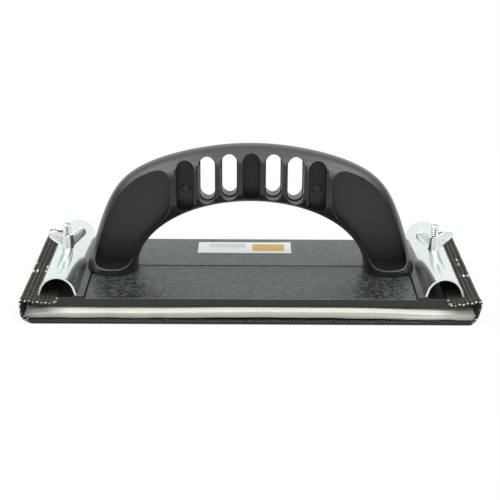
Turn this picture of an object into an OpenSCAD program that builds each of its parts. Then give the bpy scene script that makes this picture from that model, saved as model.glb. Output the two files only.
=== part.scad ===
// Hand sander: a moulded plate with a bow handle, a foam pad, and a sheet of
// abrasive mesh whose folded ends are held by two clamps with wing nuts.
// X runs along the plate, Y from front to back, Z up. The origin is at the
// middle of the working face.

/* [Base plate] */
// Length of the moulded plate
plate_l = 215.5; // [200:0.5:250]
// Width of the plate, front to back
plate_w = 88; // [80:1:110]
// Radius of the plate's corners, seen from above
plate_corner_r = 3; // [1:0.5:6]
// Height of the ledges under the clamps' inner legs, above the plate's underside
ledge_h = 5.2; // [4.8:0.1:8]
// Width of a ledge
ledge_w = 5.1; // [4:0.1:8]
// Thickness of the panel at its front and back edges
panel_edge_h = 3.8; // [2.6:0.1:4]
// Thickness of the panel at its middle, front half
panel_ridge_h = 4.7; // [4.2:0.1:4.8]
// Step at the middle of the panel, where the two halves of the mould met
parting_step = 0.3; // [0.1:0.05:0.4]

/* [Handle] */
// Height of the handle's crown above the plate's underside
handle_h = 68.7; // [60:0.1:80]
// Length of a foot along the plate
foot_l = 25.8; // [22:0.1:30]
// Thickness of a foot, front to back
foot_t = 31; // [26:0.5:36]
// Thickness of the grip, front to back
grip_t = 26; // [22:0.5:32]
// Height of the finger gap above the ledges
finger_gap_h = 34.8; // [30:0.1:38]
// How squarely the oval section is filled: 2 is an ellipse
oval_power = 2.3; // [2:0.1:3]
// How far the leg leans inwards over its lower part
leg_lean = 7.2; // [4:0.1:12]
// Rise of the leg's lower part
leg_rise = 25.5; // [20:0.5:32]
// How far the shoulder lies inside the foot's outer end
shoulder_in = 15; // [12:0.5:20]
// How far the shoulder lies below the crown
shoulder_drop = 15.2; // [12:0.1:20]
// How far from the middle the crown starts to fall
crown_run = 38.7; // [32:0.1:46]
// Gap between a foot and the clamp beside it
foot_gap = 0.5; // [0.3:0.1:3]

/* [Slots and pockets in the handle] */
// Number of slots in the grip
slot_n = 7; // [3:2:7]
// Width of a slot
slot_w = 8.2; // [6:0.1:9]
// Width of the rib between two slots
slot_rib = 2.65; // [1.8:0.05:4]
// Wall left above a slot
slot_wall = 2.7; // [1.8:0.1:4]
// Floor left below a slot
slot_floor = 2.7; // [1.8:0.1:4]
// Thickness of the web at the middle of the handle
web_t = 3; // [2:0.1:5]
// Rim of web round an open slot
web_rim = 0.5; // [0.4:0.1:1.5]
// Wall of a leg pocket on its outer side
pocket_wall_out = 2.6; // [1.8:0.1:4]
// Wall of a leg pocket on its inner side
pocket_wall_in = 3.1; // [2.4:0.1:6]
// Floor left below a leg pocket, above the ledges
pocket_floor = 2.5; // [1:0.1:4]
// Radius of a leg pocket's corners
pocket_corner_r = 7; // [3:0.5:8]
// Diameter of the ejector marks in the outer slots
mark_d = 5; // [3:0.5:6]
// Depth of the ejector marks
mark_depth = 0.4; // [0.2:0.1:0.8]
// Height of the ejector marks above the floor of their slots
mark_up = 10; // [6:0.5:14]

/* [Foam pad] */
// Thickness of the foam
foam_t = 4.15; // [3:0.05:10]
// How far the foam stands out past the plate, front and back
foam_overhang = 5; // [1:0.5:7]
// Radius of the foam's long edges
foam_edge_r = 0.8; // [0.5:0.1:2]
// Thickness of the adhesive film
adhesive_t = 0.15; // [0.1:0.05:0.4]
// How far the film stays inside the plate's edge
adhesive_inset = 1; // [0.5:0.5:4]

/* [Abrasive mesh] */
// Thickness of the mesh
mesh_t = 1; // [0.6:0.1:1.4]
// How far the mesh stands out past the plate, front and back
mesh_overhang = 8.5; // [4:0.5:14]
// Gap between the mesh and the ends of the plate
mesh_gap = 0.25; // [0.1:0.05:1]
// Outer radius of the mesh round the lower corners
mesh_lower_r = 4; // [3:0.5:5]
// Distance from the cut edge of the mesh to the clamp's middle
mesh_reach = 0; // [0:0.1:6]
// Gap between the mesh and the bolt that it is cut round
mesh_bolt_gap = 0.6; // [0.3:0.1:2]

/* [Clamps] */
// Distance from a clamp's middle to the end of the plate
clamp_inset = 15; // [13:0.25:18]
// Width of a clamp over its legs
clamp_w = 18.8; // [16:0.1:22]
// Height of a clamp
clamp_h = 9; // [7:0.1:12]
// Thickness of the clamp's sheet metal
clamp_t = 0.9; // [0.7:0.1:1.6]
// Angle of the leg beside the handle, from the vertical
clamp_splay_in = 18; // [15:1:36]
// Angle of the leg on the mesh, from the vertical
clamp_splay_out = 18; // [15:1:30]
// How far a clamp's ends stay inside the plate's edges
clamp_end_inset = 0.5; // [0:0.1:3]
// Width of ledge under a clamp's inner leg
ledge_seat = 1.7; // [1:0.1:2]

/* [Bolts and wing nuts] */
// Diameter of the bolt
bolt_d = 4; // [3:0.5:5]
// Length of the bolt below its head
bolt_l = 24.5; // [22:0.5:35]
// Diameter of the bolt's head
bolt_head_d = 9.5; // [8:0.5:11]
// Height of the bolt's head
bolt_head_h = 2.1; // [1.5:0.1:2.4]
// Depth of the bolt's head in the plate
bolt_recess = 2.4; // [2.4:0.1:2.8]
// Height of the nut's hub
hub_h = 6.9; // [5:0.1:8]
// Diameter of the hub at its foot
hub_foot_d = 6.4; // [6:0.1:9]
// Diameter of the hub at its top
hub_top_d = 5.2; // [5.2:0.1:7]
// Span of the wings
wing_span = 19; // [18:0.5:24]
// Height of the wings' tips above the nut's foot
wing_h = 9.8; // [9:0.1:13]
// Thickness of a wing
wing_t = 1.7; // [1.2:0.1:2.5]
// Radius of a wing's round tip
wing_tip_r = 2.4; // [1.8:0.1:3.5]
// Turn of the left nut, as it was left after tightening
left_nut_turn = 20; // [0:1:90]
// Turn of the right nut
right_nut_turn = 8; // [0:1:90]

/* [Label] */
// Length of the label
label_l = 49; // [20:1:80]
// Width of the label
label_w = 18.5; // [8:0.5:24]
// Thickness of the label
label_t = 0.15; // [0.1:0.05:0.3]
// Distance of the label's middle from the middle of the panel
label_off = -3.2; // [-20:0.1:20]
// Distance from the label to the back edge of the plate
label_edge = 6.2; // [3:0.1:12]

/* [Clearances] */
// Gap round the bolt in a clamp's hole
clamp_hole_gap = 0.3; // [0.2:0.05:0.6]
// Running clearance of the nut on the bolt
nut_gap = 0.05; // [0.02:0.01:0.1]
// Gap round the bolt's neck and head in the plate
bolt_fit_gap = 0.15; // [0.1:0.05:0.4]

/* [Hidden] */
$fn = 64;

// Levels, from the working face up
foam_z = mesh_t;
film_z = foam_z + foam_t;
plate_z = film_z + adhesive_t;
ledge_z = plate_z + ledge_h;
land_z = ledge_z - mesh_t;
edge_z = plate_z + panel_edge_h;
ridge_z = plate_z + panel_ridge_h;
crown_z = plate_z + handle_h;
clamp_z = ledge_z;
nut_z = clamp_z + clamp_h;
head_z = plate_z + bolt_recess;

// Places along the plate
plate_x = plate_l / 2;
mesh_x = plate_x + mesh_gap + mesh_t;
clamp_x = plate_x - clamp_inset;
ledge_x = clamp_x - clamp_w / 2 + ledge_seat;
panel_x = ledge_x - ledge_w;
foot_x = clamp_x - clamp_w / 2 - foot_gap;
finger_x = foot_x - foot_l;
flap_x = clamp_x + mesh_reach;
slot_pitch = slot_w + slot_rib;
slot_last = (slot_n - 1) / 2;
pocket_x = slot_last * slot_pitch + slot_w / 2 + slot_rib;
foam_w = plate_w + 2 * foam_overhang;
mesh_w = plate_w + 2 * mesh_overhang;
mesh_fold_r = mesh_t + mesh_gap;
clamp_l = plate_w - 2 * clamp_end_inset;
panel_slope = atan2(panel_ridge_h + parting_step - panel_edge_h, plate_w / 2);

// Room for cuts to pass right through
through = 1;

// Handle: rings from the middle of one foot, over the crown, to the other.
// A ring's station runs from 0 at the right foot to 1 at the left one.
ring_n = 44;
ring_sides = 32;
foot_bury = 2;
ring_lead = 0.87;

// Point at t on the smooth curve that a row of control points draws
function curve_point(p, t) =
    len(p) == 1 ? p[0]
    : curve_point([for (k = [0 : len(p) - 2]) (1 - t) * p[k] + t * p[k + 1]], t);

// Outside of the handle, from the right foot (0) to the crown (1).
// The shoulder counts twice, which pulls the curve towards it.
shoulder = [foot_x - shoulder_in, crown_z - shoulder_drop];
outer_curve = [
    [foot_x, ledge_z],
    [foot_x - leg_lean, ledge_z + leg_rise],
    shoulder,
    shoulder,
    [crown_run, crown_z],
    [0, crown_z]
];
function outer_point(t) = curve_point(outer_curve, t);

// Edge of the finger gap, from the right foot (0) to the middle (1)
function inner_point(t) =
    let (turn = 90 * pow(t, ring_lead))
    [finger_x * cos(turn), ledge_z + finger_gap_h * sin(turn)];

// Height of the finger gap, and of the outside of the handle, at a distance from the middle
function inner_height(x) = ledge_z + finger_gap_h * sqrt(1 - pow(x / finger_x, 2));
function outer_height(x, low = 0, high = 1, step = 0) =
    let (t = (low + high) / 2, p = outer_point(t))
    step > 24 ? p[1]
    : p[0] > x ? outer_height(x, t, high, step + 1) : outer_height(x, low, t, step + 1);

// Front-to-back thickness of the handle
function handle_t(t) = grip_t + (foot_t - grip_t) * pow(1 - t, 2);

// Unit oval, squarer as the power grows
function oval(turn) =
    let (c = cos(turn), s = sin(turn))
    [sign(c) * pow(abs(c), 2 / oval_power), sign(s) * pow(abs(s), 2 / oval_power)];

// One ring of the handle at a station, lowered by drop
function handle_ring(station, drop = 0) =
    let (
        side = station < 0.5 ? 1 : -1,
        t = station < 0.5 ? 2 * station : 2 - 2 * station,
        o = outer_point(t),
        i = inner_point(t),
        mid = (o + i) / 2,
        half = (o - i) / 2
    )
    [for (k = [0 : ring_sides - 1])
        let (q = oval(360 * k / ring_sides), p = mid + half * q[0])
        [side * p[0], q[1] * handle_t(t) / 2, p[1] - drop]];

// Seven-slot grip on two legs, as one closed loft with its feet sunk in the plate
module handle_loft() {
    rings = concat(
        [handle_ring(0, foot_bury)],
        [for (k = [0 : ring_n]) handle_ring(k / ring_n)],
        [handle_ring(1, foot_bury)]
    );
    last = len(rings) - 1;
    points = [for (r = rings) each r];
    sides = [
        for (r = [0 : last - 1])
            for (k = [0 : ring_sides - 1])
                let (
                    m = (k + 1) % ring_sides,
                    a = r * ring_sides + k,
                    b = r * ring_sides + m,
                    c = a + ring_sides,
                    d = b + ring_sides
                )
                each [[a, d, b], [a, c, d]]
    ];
    ends = [
        [for (k = [0 : ring_sides - 1]) k],
        [for (k = [ring_sides - 1 : -1 : 0]) last * ring_sides + k]
    ];
    polyhedron(points, concat(sides, ends));
}

// Outline with round ends, standing on z = 0
module upright_stadium(w, h) {
    translate([0, w / 2]) circle(d = w);
    translate([0, h - w / 2]) circle(d = w);
    translate([-w / 2, w / 2]) square([w, h - w]);
}

// Extrudes an outline drawn in X and Z between two places in Y
module along_y(from, to) {
    translate([0, to, 0]) rotate([90, 0, 0]) linear_extrude(to - from) children();
}

// Both sides, front and back, of what is drawn on the front at the right
module front_and_back() {
    children();
    mirror([0, 1, 0]) children();
}
module left_and_right() {
    children();
    mirror([1, 0, 0]) children();
}

// A slot of the grip: deep from both sides, with a web at the middle
module grip_slot(index) {
    x = index * slot_pitch;
    low = inner_height(abs(x)) + slot_floor;
    high = outer_height(abs(x)) - slot_wall;
    open = index != 0 && abs(index) != slot_last;
    front_and_back()
        along_y(-foot_t, -web_t / 2)
            translate([x, low]) upright_stadium(slot_w, high - low);
    if (open)
        along_y(-web_t, web_t)
            translate([x, low + web_rim])
                upright_stadium(slot_w - 2 * web_rim, high - low - 2 * web_rim);
    else if (index != 0)
        along_y(-web_t, mark_depth - web_t / 2)
            translate([x, low + mark_up]) circle(d = mark_d);
}

// Hollow of the right leg, seen from the front
module pocket_outline() {
    steps = 24;
    band_out = [for (k = [0 : steps])
        let (o = outer_point(k / steps), i = inner_point(k / steps))
        o + (i - o) / norm(i - o) * pocket_wall_out];
    band_in = [for (k = [steps : -1 : 0])
        let (o = outer_point(k / steps), i = inner_point(k / steps))
        i + (o - i) / norm(o - i) * pocket_wall_in];
    offset(r = pocket_corner_r) offset(r = -pocket_corner_r)
        intersection() {
            polygon(concat(band_out, band_in));
            translate([pocket_x, ledge_z + pocket_floor]) square([foot_x, handle_h]);
        }
}

module leg_pockets() {
    left_and_right() front_and_back()
        along_y(-foot_t, -web_t / 2) pocket_outline();
}

// Plate seen from above
module plate_outline() {
    corner_x = plate_x - plate_corner_r;
    corner_y = plate_w / 2 - plate_corner_r;
    for (x = [-corner_x, corner_x], y = [-corner_y, corner_y])
        translate([x, y]) circle(r = plate_corner_r);
    square([plate_l, 2 * corner_y], center = true);
    square([2 * corner_x, plate_w], center = true);
}

// Air above the panel, which falls from its middle to the front and back
module panel_air() {
    run = plate_w / 2 + through;
    fall = through * tan(panel_slope);
    translate([-panel_x, 0, 0]) rotate([90, 0, 90]) linear_extrude(2 * panel_x)
        polygon([
            [-run, edge_z - fall],
            [0, ridge_z],
            [0, ridge_z + parting_step],
            [run, edge_z - fall],
            [run, ledge_z + through],
            [-run, ledge_z + through]
        ]);
}

// Lands at the ends, one thickness of mesh below the ledges
module end_lands() {
    left_and_right()
        translate([ledge_x, -plate_w, land_z]) cube([plate_l, 2 * plate_w, ledge_h]);
}

// Hole for a bolt: round recess for the head, square hole for the neck
module bolt_holes() {
    left_and_right() translate([clamp_x, 0, 0]) {
        translate([0, 0, plate_z - through])
            cylinder(d = bolt_head_d + 2 * bolt_fit_gap, h = bolt_recess + through);
        square_hole = bolt_d + 2 * bolt_fit_gap;
        translate([-square_hole / 2, -square_hole / 2, plate_z])
            cube([square_hole, square_hole, ledge_h + through]);
    }
}

module body() {
    color("#2b2c2b") difference() {
        union() {
            difference() {
                translate([0, 0, plate_z]) linear_extrude(ledge_h) plate_outline();
                panel_air();
                end_lands();
            }
            handle_loft();
        }
        for (index = [-slot_last : slot_last]) grip_slot(index);
        leg_pockets();
        bolt_holes();
    }
}

// Blank sticker, lying on the slope of the back half of the panel
module label() {
    color("white")
        translate([label_off, 0, ridge_z + parting_step])
            rotate([-panel_slope, 0, 0])
                translate([-label_l / 2, plate_w / 2 - label_edge - label_w, 0])
                    cube([label_l, label_w, label_t]);
}

module foam_adhesive() {
    film_l = plate_l - 2 * adhesive_inset;
    film_w = plate_w - 2 * adhesive_inset;
    color("khaki")
        translate([-film_l / 2, -film_w / 2, film_z]) cube([film_l, film_w, adhesive_t]);
}

// Rounded bar seen from the end, standing on z = 0
module round_bar(w, h, r) {
    for (x = [r - w / 2, w / 2 - r], z = [r, h - r])
        translate([x, z]) circle(r = r);
    translate([-w / 2, r]) square([w, h - 2 * r]);
    translate([r - w / 2, 0]) square([w - 2 * r, h]);
}

// Bar with round lower corners only, standing on z = 0
module round_bottom_bar(w, h, r) {
    for (x = [r - w / 2, w / 2 - r])
        translate([x, r]) circle(r = r);
    translate([r - w / 2, 0]) square([w - 2 * r, h]);
    translate([-w / 2, r]) square([w, h - r]);
}

module foam_pad() {
    lower_r = mesh_lower_r - mesh_t;
    color("#e4e0d4") translate([0, 0, foam_z]) intersection() {
        along_y(-foam_w, foam_w) round_bottom_bar(plate_l, foam_t, lower_r);
        translate([-plate_l, 0, 0]) rotate([90, 0, 90]) linear_extrude(2 * plate_l)
            round_bar(foam_w, foam_t, foam_edge_r);
    }
}

// Outline of the folded sheet: wide at the bottom, with tight folds at the top
module folded_outline(half, low, high, lower_r, fold_r) {
    for (side = [-1, 1]) {
        translate([side * (half - lower_r), low + lower_r]) circle(r = lower_r);
        translate([side * (half - fold_r), high - fold_r]) circle(r = fold_r);
    }
    translate([lower_r - half, low]) square([2 * (half - lower_r), high - low]);
    translate([-half, low + lower_r])
        square([2 * half, high - low - lower_r - fold_r]);
    translate([fold_r - half, low + lower_r])
        square([2 * (half - fold_r), high - low - lower_r]);
}

// One sheet under the foam, up round both ends and on to the lands, cut round the bolts
module abrasive_mesh() {
    color("#3b2f28") difference() {
        along_y(-mesh_w / 2, mesh_w / 2) difference() {
            folded_outline(mesh_x, 0, ledge_z, mesh_lower_r, mesh_fold_r);
            folded_outline(mesh_x - mesh_t, mesh_t, land_z,
                mesh_lower_r - mesh_t, mesh_fold_r - mesh_t);
            translate([-flap_x, mesh_t + mesh_lower_r])
                square([2 * flap_x, ledge_z]);
        }
        left_and_right() translate([clamp_x, 0, land_z - through])
            cylinder(d = bolt_d + 2 * mesh_bolt_gap, h = mesh_t + 2 * through);
    }
}

// Bolt standing in the plate: round head, square neck and shank
module bolt(side) {
    neck_h = land_z - head_z;
    dome_h = bolt_head_h / 2;
    color("#c9cdd2") translate([side * clamp_x, 0, head_z]) {
        cylinder(d = bolt_d, h = bolt_l);
        translate([-bolt_d / 2, -bolt_d / 2, 0]) cube([bolt_d, bolt_d, neck_h]);
        translate([0, 0, -bolt_head_h + dome_h]) cylinder(d = bolt_head_d, h = bolt_head_h - dome_h);
        translate([0, 0, -bolt_head_h])
            cylinder(d1 = bolt_head_d - 2 * dome_h, d2 = bolt_head_d, h = dome_h);
    }
}
module left_bolt() bolt(-1);
module right_bolt() bolt(1);

// Half-round arch with straight, splayed legs, at a depth below the outside of the sheet
function clamp_arch(depth) =
    let (
        splays = tan(clamp_splay_in) + tan(clamp_splay_out),
        r = (clamp_w - clamp_h * splays)
            / (1 / cos(clamp_splay_in) + 1 / cos(clamp_splay_out) - splays),
        x = clamp_w / 2 - (clamp_h - r) * tan(clamp_splay_out) - r / cos(clamp_splay_out),
        from = clamp_splay_in - 90,
        to = 90 - clamp_splay_out,
        steps = 32,
        arc = [for (k = [0 : steps])
            let (a = from + (to - from) * k / steps)
            [x + (r - depth) * sin(a), clamp_h - r + (r - depth) * cos(a)]]
    )
    concat(
        [[depth / cos(clamp_splay_in) - clamp_w / 2, 0]],
        arc,
        [[clamp_w / 2 - depth / cos(clamp_splay_out), 0]]
    );

// Sheet-steel channel with a hole for the bolt, at the right end
module clamp() {
    color("#c4c8cf") translate([clamp_x, 0, clamp_z]) difference() {
        along_y(-clamp_l / 2, clamp_l / 2) difference() {
            polygon(clamp_arch(0));
            polygon(clamp_arch(clamp_t));
        }
        cylinder(d = bolt_d + 2 * clamp_hole_gap, h = clamp_h + through);
    }
}
module left_clamp() mirror([1, 0, 0]) clamp();
module right_clamp() clamp();

// One wing, from the hub's axis out to its round tip, seen from the front
module wing_outline() {
    tip = [wing_span / 2 - wing_tip_r, wing_h - wing_tip_r];
    root_z = hub_h / 12;
    hull() {
        translate(tip) circle(r = wing_tip_r, $fn = 32);
        translate([0, root_z]) square([hub_top_d / 2, hub_h - 2 * root_z]);
    }
}

// Nut with a tapered hub and two raised wings
module wing_nut(side, turn) {
    color("#c9cdd2")
        translate([side * clamp_x, 0, nut_z]) rotate([0, 0, turn]) difference() {
            union() {
                cylinder(d1 = hub_foot_d, d2 = hub_top_d, h = hub_h);
                along_y(-wing_t / 2, wing_t / 2) {
                    wing_outline();
                    mirror([1, 0]) wing_outline();
                }
            }
            translate([0, 0, -through])
                cylinder(d = bolt_d + 2 * nut_gap, h = wing_h + 2 * through);
        }
}
module left_wing_nut() wing_nut(-1, left_nut_turn);
module right_wing_nut() wing_nut(1, right_nut_turn);

body();
label();
foam_adhesive();
foam_pad();
abrasive_mesh();
left_bolt();
right_bolt();
left_clamp();
right_clamp();
left_wing_nut();
right_wing_nut();
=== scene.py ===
# Hand sander for drywall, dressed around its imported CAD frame. The file follows the sander as it
# is put together: moulding, label, foam, bonding film, abrasive mesh, bolts, clamps and wing nuts.
import math

import bpy
from mathutils import Matrix, Vector, noise


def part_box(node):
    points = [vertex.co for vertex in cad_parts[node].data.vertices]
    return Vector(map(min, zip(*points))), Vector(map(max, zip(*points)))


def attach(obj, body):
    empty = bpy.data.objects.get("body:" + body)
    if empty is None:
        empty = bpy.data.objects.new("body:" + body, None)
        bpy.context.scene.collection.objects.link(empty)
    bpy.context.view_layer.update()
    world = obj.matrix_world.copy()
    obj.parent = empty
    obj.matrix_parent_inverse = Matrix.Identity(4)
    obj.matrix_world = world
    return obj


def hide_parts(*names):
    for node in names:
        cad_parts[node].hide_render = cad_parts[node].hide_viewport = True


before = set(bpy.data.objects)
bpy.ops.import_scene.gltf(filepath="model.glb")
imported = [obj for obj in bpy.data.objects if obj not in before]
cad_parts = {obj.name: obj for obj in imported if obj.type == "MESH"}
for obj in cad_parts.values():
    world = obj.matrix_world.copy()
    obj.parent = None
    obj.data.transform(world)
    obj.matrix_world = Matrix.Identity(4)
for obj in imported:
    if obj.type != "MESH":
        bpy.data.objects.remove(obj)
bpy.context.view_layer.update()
scene = bpy.context.scene
scene.view_settings.view_transform = "Standard"

# Camera: a long lens square in front of the sander and a little above it, with the small
# turns at which the sander stood in the frame.
VIEW_RISE = math.radians(19.56)
VIEW_REACH = 0.6639
VIEW_POINT = (-0.00045, 0, 0.0185)
VIEW_TURN = math.radians(-0.18)
VIEW_ROLL = math.radians(0.34)
VIEW_LENS = 94.18
VIEW_SENSOR = 36
camera = bpy.data.objects.new("camera", bpy.data.cameras.new("camera"))
camera.data.sensor_width = VIEW_SENSOR
camera.data.lens = VIEW_LENS
camera.matrix_world = (
    Matrix.Rotation(VIEW_TURN, 4, "Z")
    @ Matrix.Translation(VIEW_POINT)
    @ Matrix.Rotation(math.pi / 2 - VIEW_RISE, 4, "X")
    @ Matrix.Rotation(VIEW_ROLL, 4, "Z")
    @ Matrix.Translation((0, 0, VIEW_REACH))
)
scene.collection.objects.link(camera)
scene.camera = camera


# Studio: a white sweep under and behind the sander, a large soft box overhead and two fainter
# ones at each side. The front of the room is dimmer, so that black plastic stays black, with a
# pale band high up on its walls that the metal mirrors.
def join(tree, socket, value):
    """Sets a node's input to a value, or links another node's output to it."""
    if isinstance(value, bpy.types.NodeSocket):
        tree.links.new(value, socket)
    else:
        socket.default_value = value


def add_node(tree, kind, **inputs):
    """Adds a shader node with its inputs set or linked."""
    made = tree.nodes.new("ShaderNode" + kind)
    for name, value in inputs.items():
        join(tree, made.inputs[name.replace("_", " ")], value)
    return made


def add_math(tree, operation, first, second=0.0):
    """Adds a Math node and returns its output."""
    made = tree.nodes.new("ShaderNodeMath")
    made.operation = operation
    join(tree, made.inputs[0], first)
    join(tree, made.inputs[1], second)
    return made.outputs[0]


def product(tree, value, *others):
    """Values multiplied together."""
    for other in others:
        value = add_math(tree, "MULTIPLY", value, other)
    return value


def total(tree, value, *others):
    """Values added up."""
    for other in others:
        value = add_math(tree, "ADD", value, other)
    return value


def unsigned(tree, value):
    """A value without its sign, so that it is the same on both sides of the middle."""
    return add_math(tree, "ABSOLUTE", value)


def add_range(tree, value, from_low, from_high, to_low=0.0, to_high=1.0):
    """Adds a clamped Map Range node and returns its output."""
    made = add_node(tree, "MapRange", Value=value, From_Min=from_low, From_Max=from_high,
                    To_Min=to_low, To_Max=to_high)
    return made.outputs["Result"]


def add_mix(tree, share, first, second):
    """Adds a colour Mix node and returns its output."""
    made = tree.nodes.new("ShaderNodeMix")
    made.data_type = "RGBA"
    join(tree, made.inputs[0], share)
    join(tree, made.inputs[6], first)
    join(tree, made.inputs[7], second)
    return made.outputs[2]


def within(tree, value, low, high, soft):
    """1 between two limits, with soft borders."""
    rise = add_range(tree, value, low - soft, low + soft)
    return product(tree, rise, add_range(tree, value, high - soft, high + soft, 1.0, 0.0))


def axes_of(tree, vector):
    """X, Y and Z of a vector."""
    return add_node(tree, "SeparateXYZ", Vector=vector).outputs


def shown_directly(tree):
    """Light path outputs, and 1 for rays that show the background: straight, mirrored or bent."""
    path = tree.nodes.new("ShaderNodeLightPath").outputs
    seen = add_math(tree, "MAXIMUM", path["Is Camera Ray"], path["Is Glossy Ray"])
    return path, add_math(tree, "MAXIMUM", seen, path["Is Transmission Ray"])


def mix_shaders(tree, share, first, second, output):
    """Mixes two shaders into a tree's output node."""
    both = tree.nodes.new("ShaderNodeMixShader")
    tree.links.new(share, both.inputs[0])
    tree.links.new(first.outputs[0], both.inputs[1])
    tree.links.new(second.outputs[0], both.inputs[2])
    tree.links.new(both.outputs[0], add_node(tree, output).inputs[0])


FILL_LIGHT = 0.36
FRONT_GREY = 0.45
BACK_WALL = (0.65, 0.92)
BAND_LIGHT = 2.1
BAND_RISE = (0.45, 0.88)
BAND_SOFT = 0.1
BAND_BACK = (0.45, 0.62)
WHITE = (1, 1, 1, 1)
ROOM_TINT = (0.94, 1, 0.96, 1)
world = bpy.data.worlds.new("studio")
world.use_nodes = True
scene.world = world
tree = world.node_tree
tree.nodes.clear()
path, seen = shown_directly(tree)
direction = axes_of(tree, add_node(tree, "TexCoord").outputs["Generated"])
level = add_math(tree, "SUBTRACT", 1.0, product(tree, direction["Z"], direction["Z"]))
behind = add_math(tree, "DIVIDE", direction["Y"], add_math(tree, "SQRT", level))
band = product(tree, within(tree, direction["Z"], *BAND_RISE, BAND_SOFT),
               add_range(tree, direction["Y"], *BAND_BACK, BAND_LIGHT, 0.0))
around = total(tree, add_range(tree, behind, *BACK_WALL, FRONT_GREY, 1.0), band)
backdrop = add_mix(tree, path["Is Camera Ray"], around, WHITE)
tint = add_mix(tree, path["Is Camera Ray"], ROOM_TINT, WHITE)
white = add_node(tree, "Background", Color=tint, Strength=backdrop)
fill = add_node(tree, "Background", Color=WHITE, Strength=FILL_LIGHT)
mix_shaders(tree, seen, fill, white, "OutputWorld")

FLOOR_SIZE = 6.0
FLOOR_DROP = 0.0002
FLOOR_SHADE = 0.15
SHADE_NEAR = 0.12
SHADE_FAR = 0.3
FLOOR_TOUCH = {"X": 0.1058, "Y": 0.0532}
TOUCH_R = 0.003
TOUCH_SOFT = 0.0005
FLOOR_PALE = (0.86, 0.86, 0.86, 1)
FLOOR_PAINTED_SHADOW = (0.10, 0.10, 0.10, 1)
bpy.ops.object.select_all(action="DESELECT")
bpy.ops.mesh.primitive_plane_add(size=FLOOR_SIZE, location=(0, 0, -FLOOR_DROP))
floor = bpy.context.active_object
floor.name = "floor"
paint = bpy.data.materials.new("white_floor")
paint.use_nodes = True
tree = paint.node_tree
tree.nodes.clear()
path, seen = shown_directly(tree)
place = add_node(tree, "TexCoord").outputs["Object"]
spot = add_node(tree, "VectorMath", Vector=place)
spot.operation = "LENGTH"
shade = add_range(tree, spot.outputs["Value"], SHADE_NEAR, SHADE_FAR, FLOOR_SHADE, 0.0)
axes = axes_of(tree, place)
# Under the mesh and a little past its edges the floor is painted dark: a painted contact shadow.
squares = []
for axis, reach in FLOOR_TOUCH.items():
    out = add_math(tree, "SUBTRACT", unsigned(tree, axes[axis]), reach - TOUCH_R)
    out = add_math(tree, "MAXIMUM", out, 0.0)
    squares.append(product(tree, out, out))
out = add_math(tree, "SQRT", total(tree, *squares))
painted_shadow_patch = add_range(tree, out, TOUCH_R - TOUCH_SOFT, TOUCH_R + TOUCH_SOFT, 1.0, 0.0)
shade = add_math(tree, "MAXIMUM", shade, painted_shadow_patch)
matt = add_node(tree, "BsdfDiffuse", Color=add_mix(tree, painted_shadow_patch, FLOOR_PALE, FLOOR_PAINTED_SHADOW))
glow = add_node(tree, "Emission", Color=WHITE, Strength=1.0)
glowing = product(tree, seen, add_math(tree, "SUBTRACT", 1.0, shade))
mix_shaders(tree, glowing, matt, glow, "OutputMaterial")
floor.data.materials.append(paint)

LAMP_AIM = Vector((0, 0, 0.03))


def add_soft_box(name, place, size, power, tint):
    """A square area lamp that looks at the middle of the sander."""
    lamp = bpy.data.lights.new(name, "AREA")
    lamp.size = size
    lamp.energy = power
    lamp.color = tint
    box = bpy.data.objects.new(name, lamp)
    box.location = place
    box.rotation_euler = (LAMP_AIM - box.location).to_track_quat("-Z", "Y").to_euler()
    scene.collection.objects.link(box)


add_soft_box("soft_box_overhead", place=(0, -0.15, 1.15), size=1.0, power=5.5, tint=(0.97, 1, 0.96))
for side, name, tint in ((-1, "left", (0.93, 0.97, 1)), (1, "right", (0.98, 1, 0.93))):
    add_soft_box("soft_box_above_" + name, (side * 0.6, 0.10, 1.0), size=0.5, power=2.4, tint=tint)
    add_soft_box("soft_box_front_" + name, (side * 0.47, -0.42, 0.80), size=0.45, power=2.4, tint=tint)


# Moulding: plate and bow handle in one shot of black plastic. Two slides of the mould hollow
# the handle from the front and the back, which leaves a web at its middle, a parting line
# along the panel and round ejector marks in the outer slots.
def settle():
    """Applies the place, turn and scale of the selected piece to its mesh, and returns the piece."""
    bpy.ops.object.transform_apply(location=True, rotation=True, scale=True)
    return bpy.context.active_object


def add_block(low, high):
    """A cube primitive stretched between two corners."""
    middle = [(a + b) / 2 for a, b in zip(low, high)]
    extent = [b - a for a, b in zip(low, high)]
    bpy.ops.mesh.primitive_cube_add(size=1, location=middle, scale=extent)
    return settle()


def add_drum(place, radius, length, sides=48, turn=(0, 0, 0)):
    """A cylinder primitive with its middle at a place, upright unless it is turned."""
    bpy.ops.mesh.primitive_cylinder_add(vertices=sides, radius=radius, depth=length,
                                        location=place, rotation=turn)
    return settle()


def pick(piece, kind, test):
    """Opens a piece in edit mode, with those vertices, edges or faces selected that pass a test."""
    bpy.context.view_layer.objects.active = piece
    bpy.ops.object.mode_set(mode="EDIT")
    bpy.ops.mesh.select_mode(type=kind)
    bpy.ops.mesh.select_all(action="DESELECT")
    bpy.ops.object.mode_set(mode="OBJECT")
    mesh = piece.data
    parts = {"VERT": mesh.vertices, "EDGE": mesh.edges, "FACE": mesh.polygons}[kind]
    for part in parts:
        points = [part.co] if kind == "VERT" else [mesh.vertices[i].co for i in part.vertices]
        part.select = bool(test(points))
    bpy.ops.object.mode_set(mode="EDIT")


def close_edit():
    """Back from edit mode to the whole piece."""
    bpy.ops.object.mode_set(mode="OBJECT")


def face_outwards(piece):
    """Turns all faces of a closed piece outwards."""
    pick(piece, "FACE", lambda points: True)
    bpy.ops.mesh.normals_make_consistent(inside=False)
    close_edit()


def apply_modifier(piece, kind, **settings):
    """Adds a modifier to a piece, sets it and applies it."""
    modifier = piece.modifiers.new(kind.lower(), kind)
    for name, value in settings.items():
        setattr(modifier, name, value)
    bpy.context.view_layer.objects.active = piece
    bpy.ops.object.modifier_apply(modifier=modifier.name)


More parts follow.
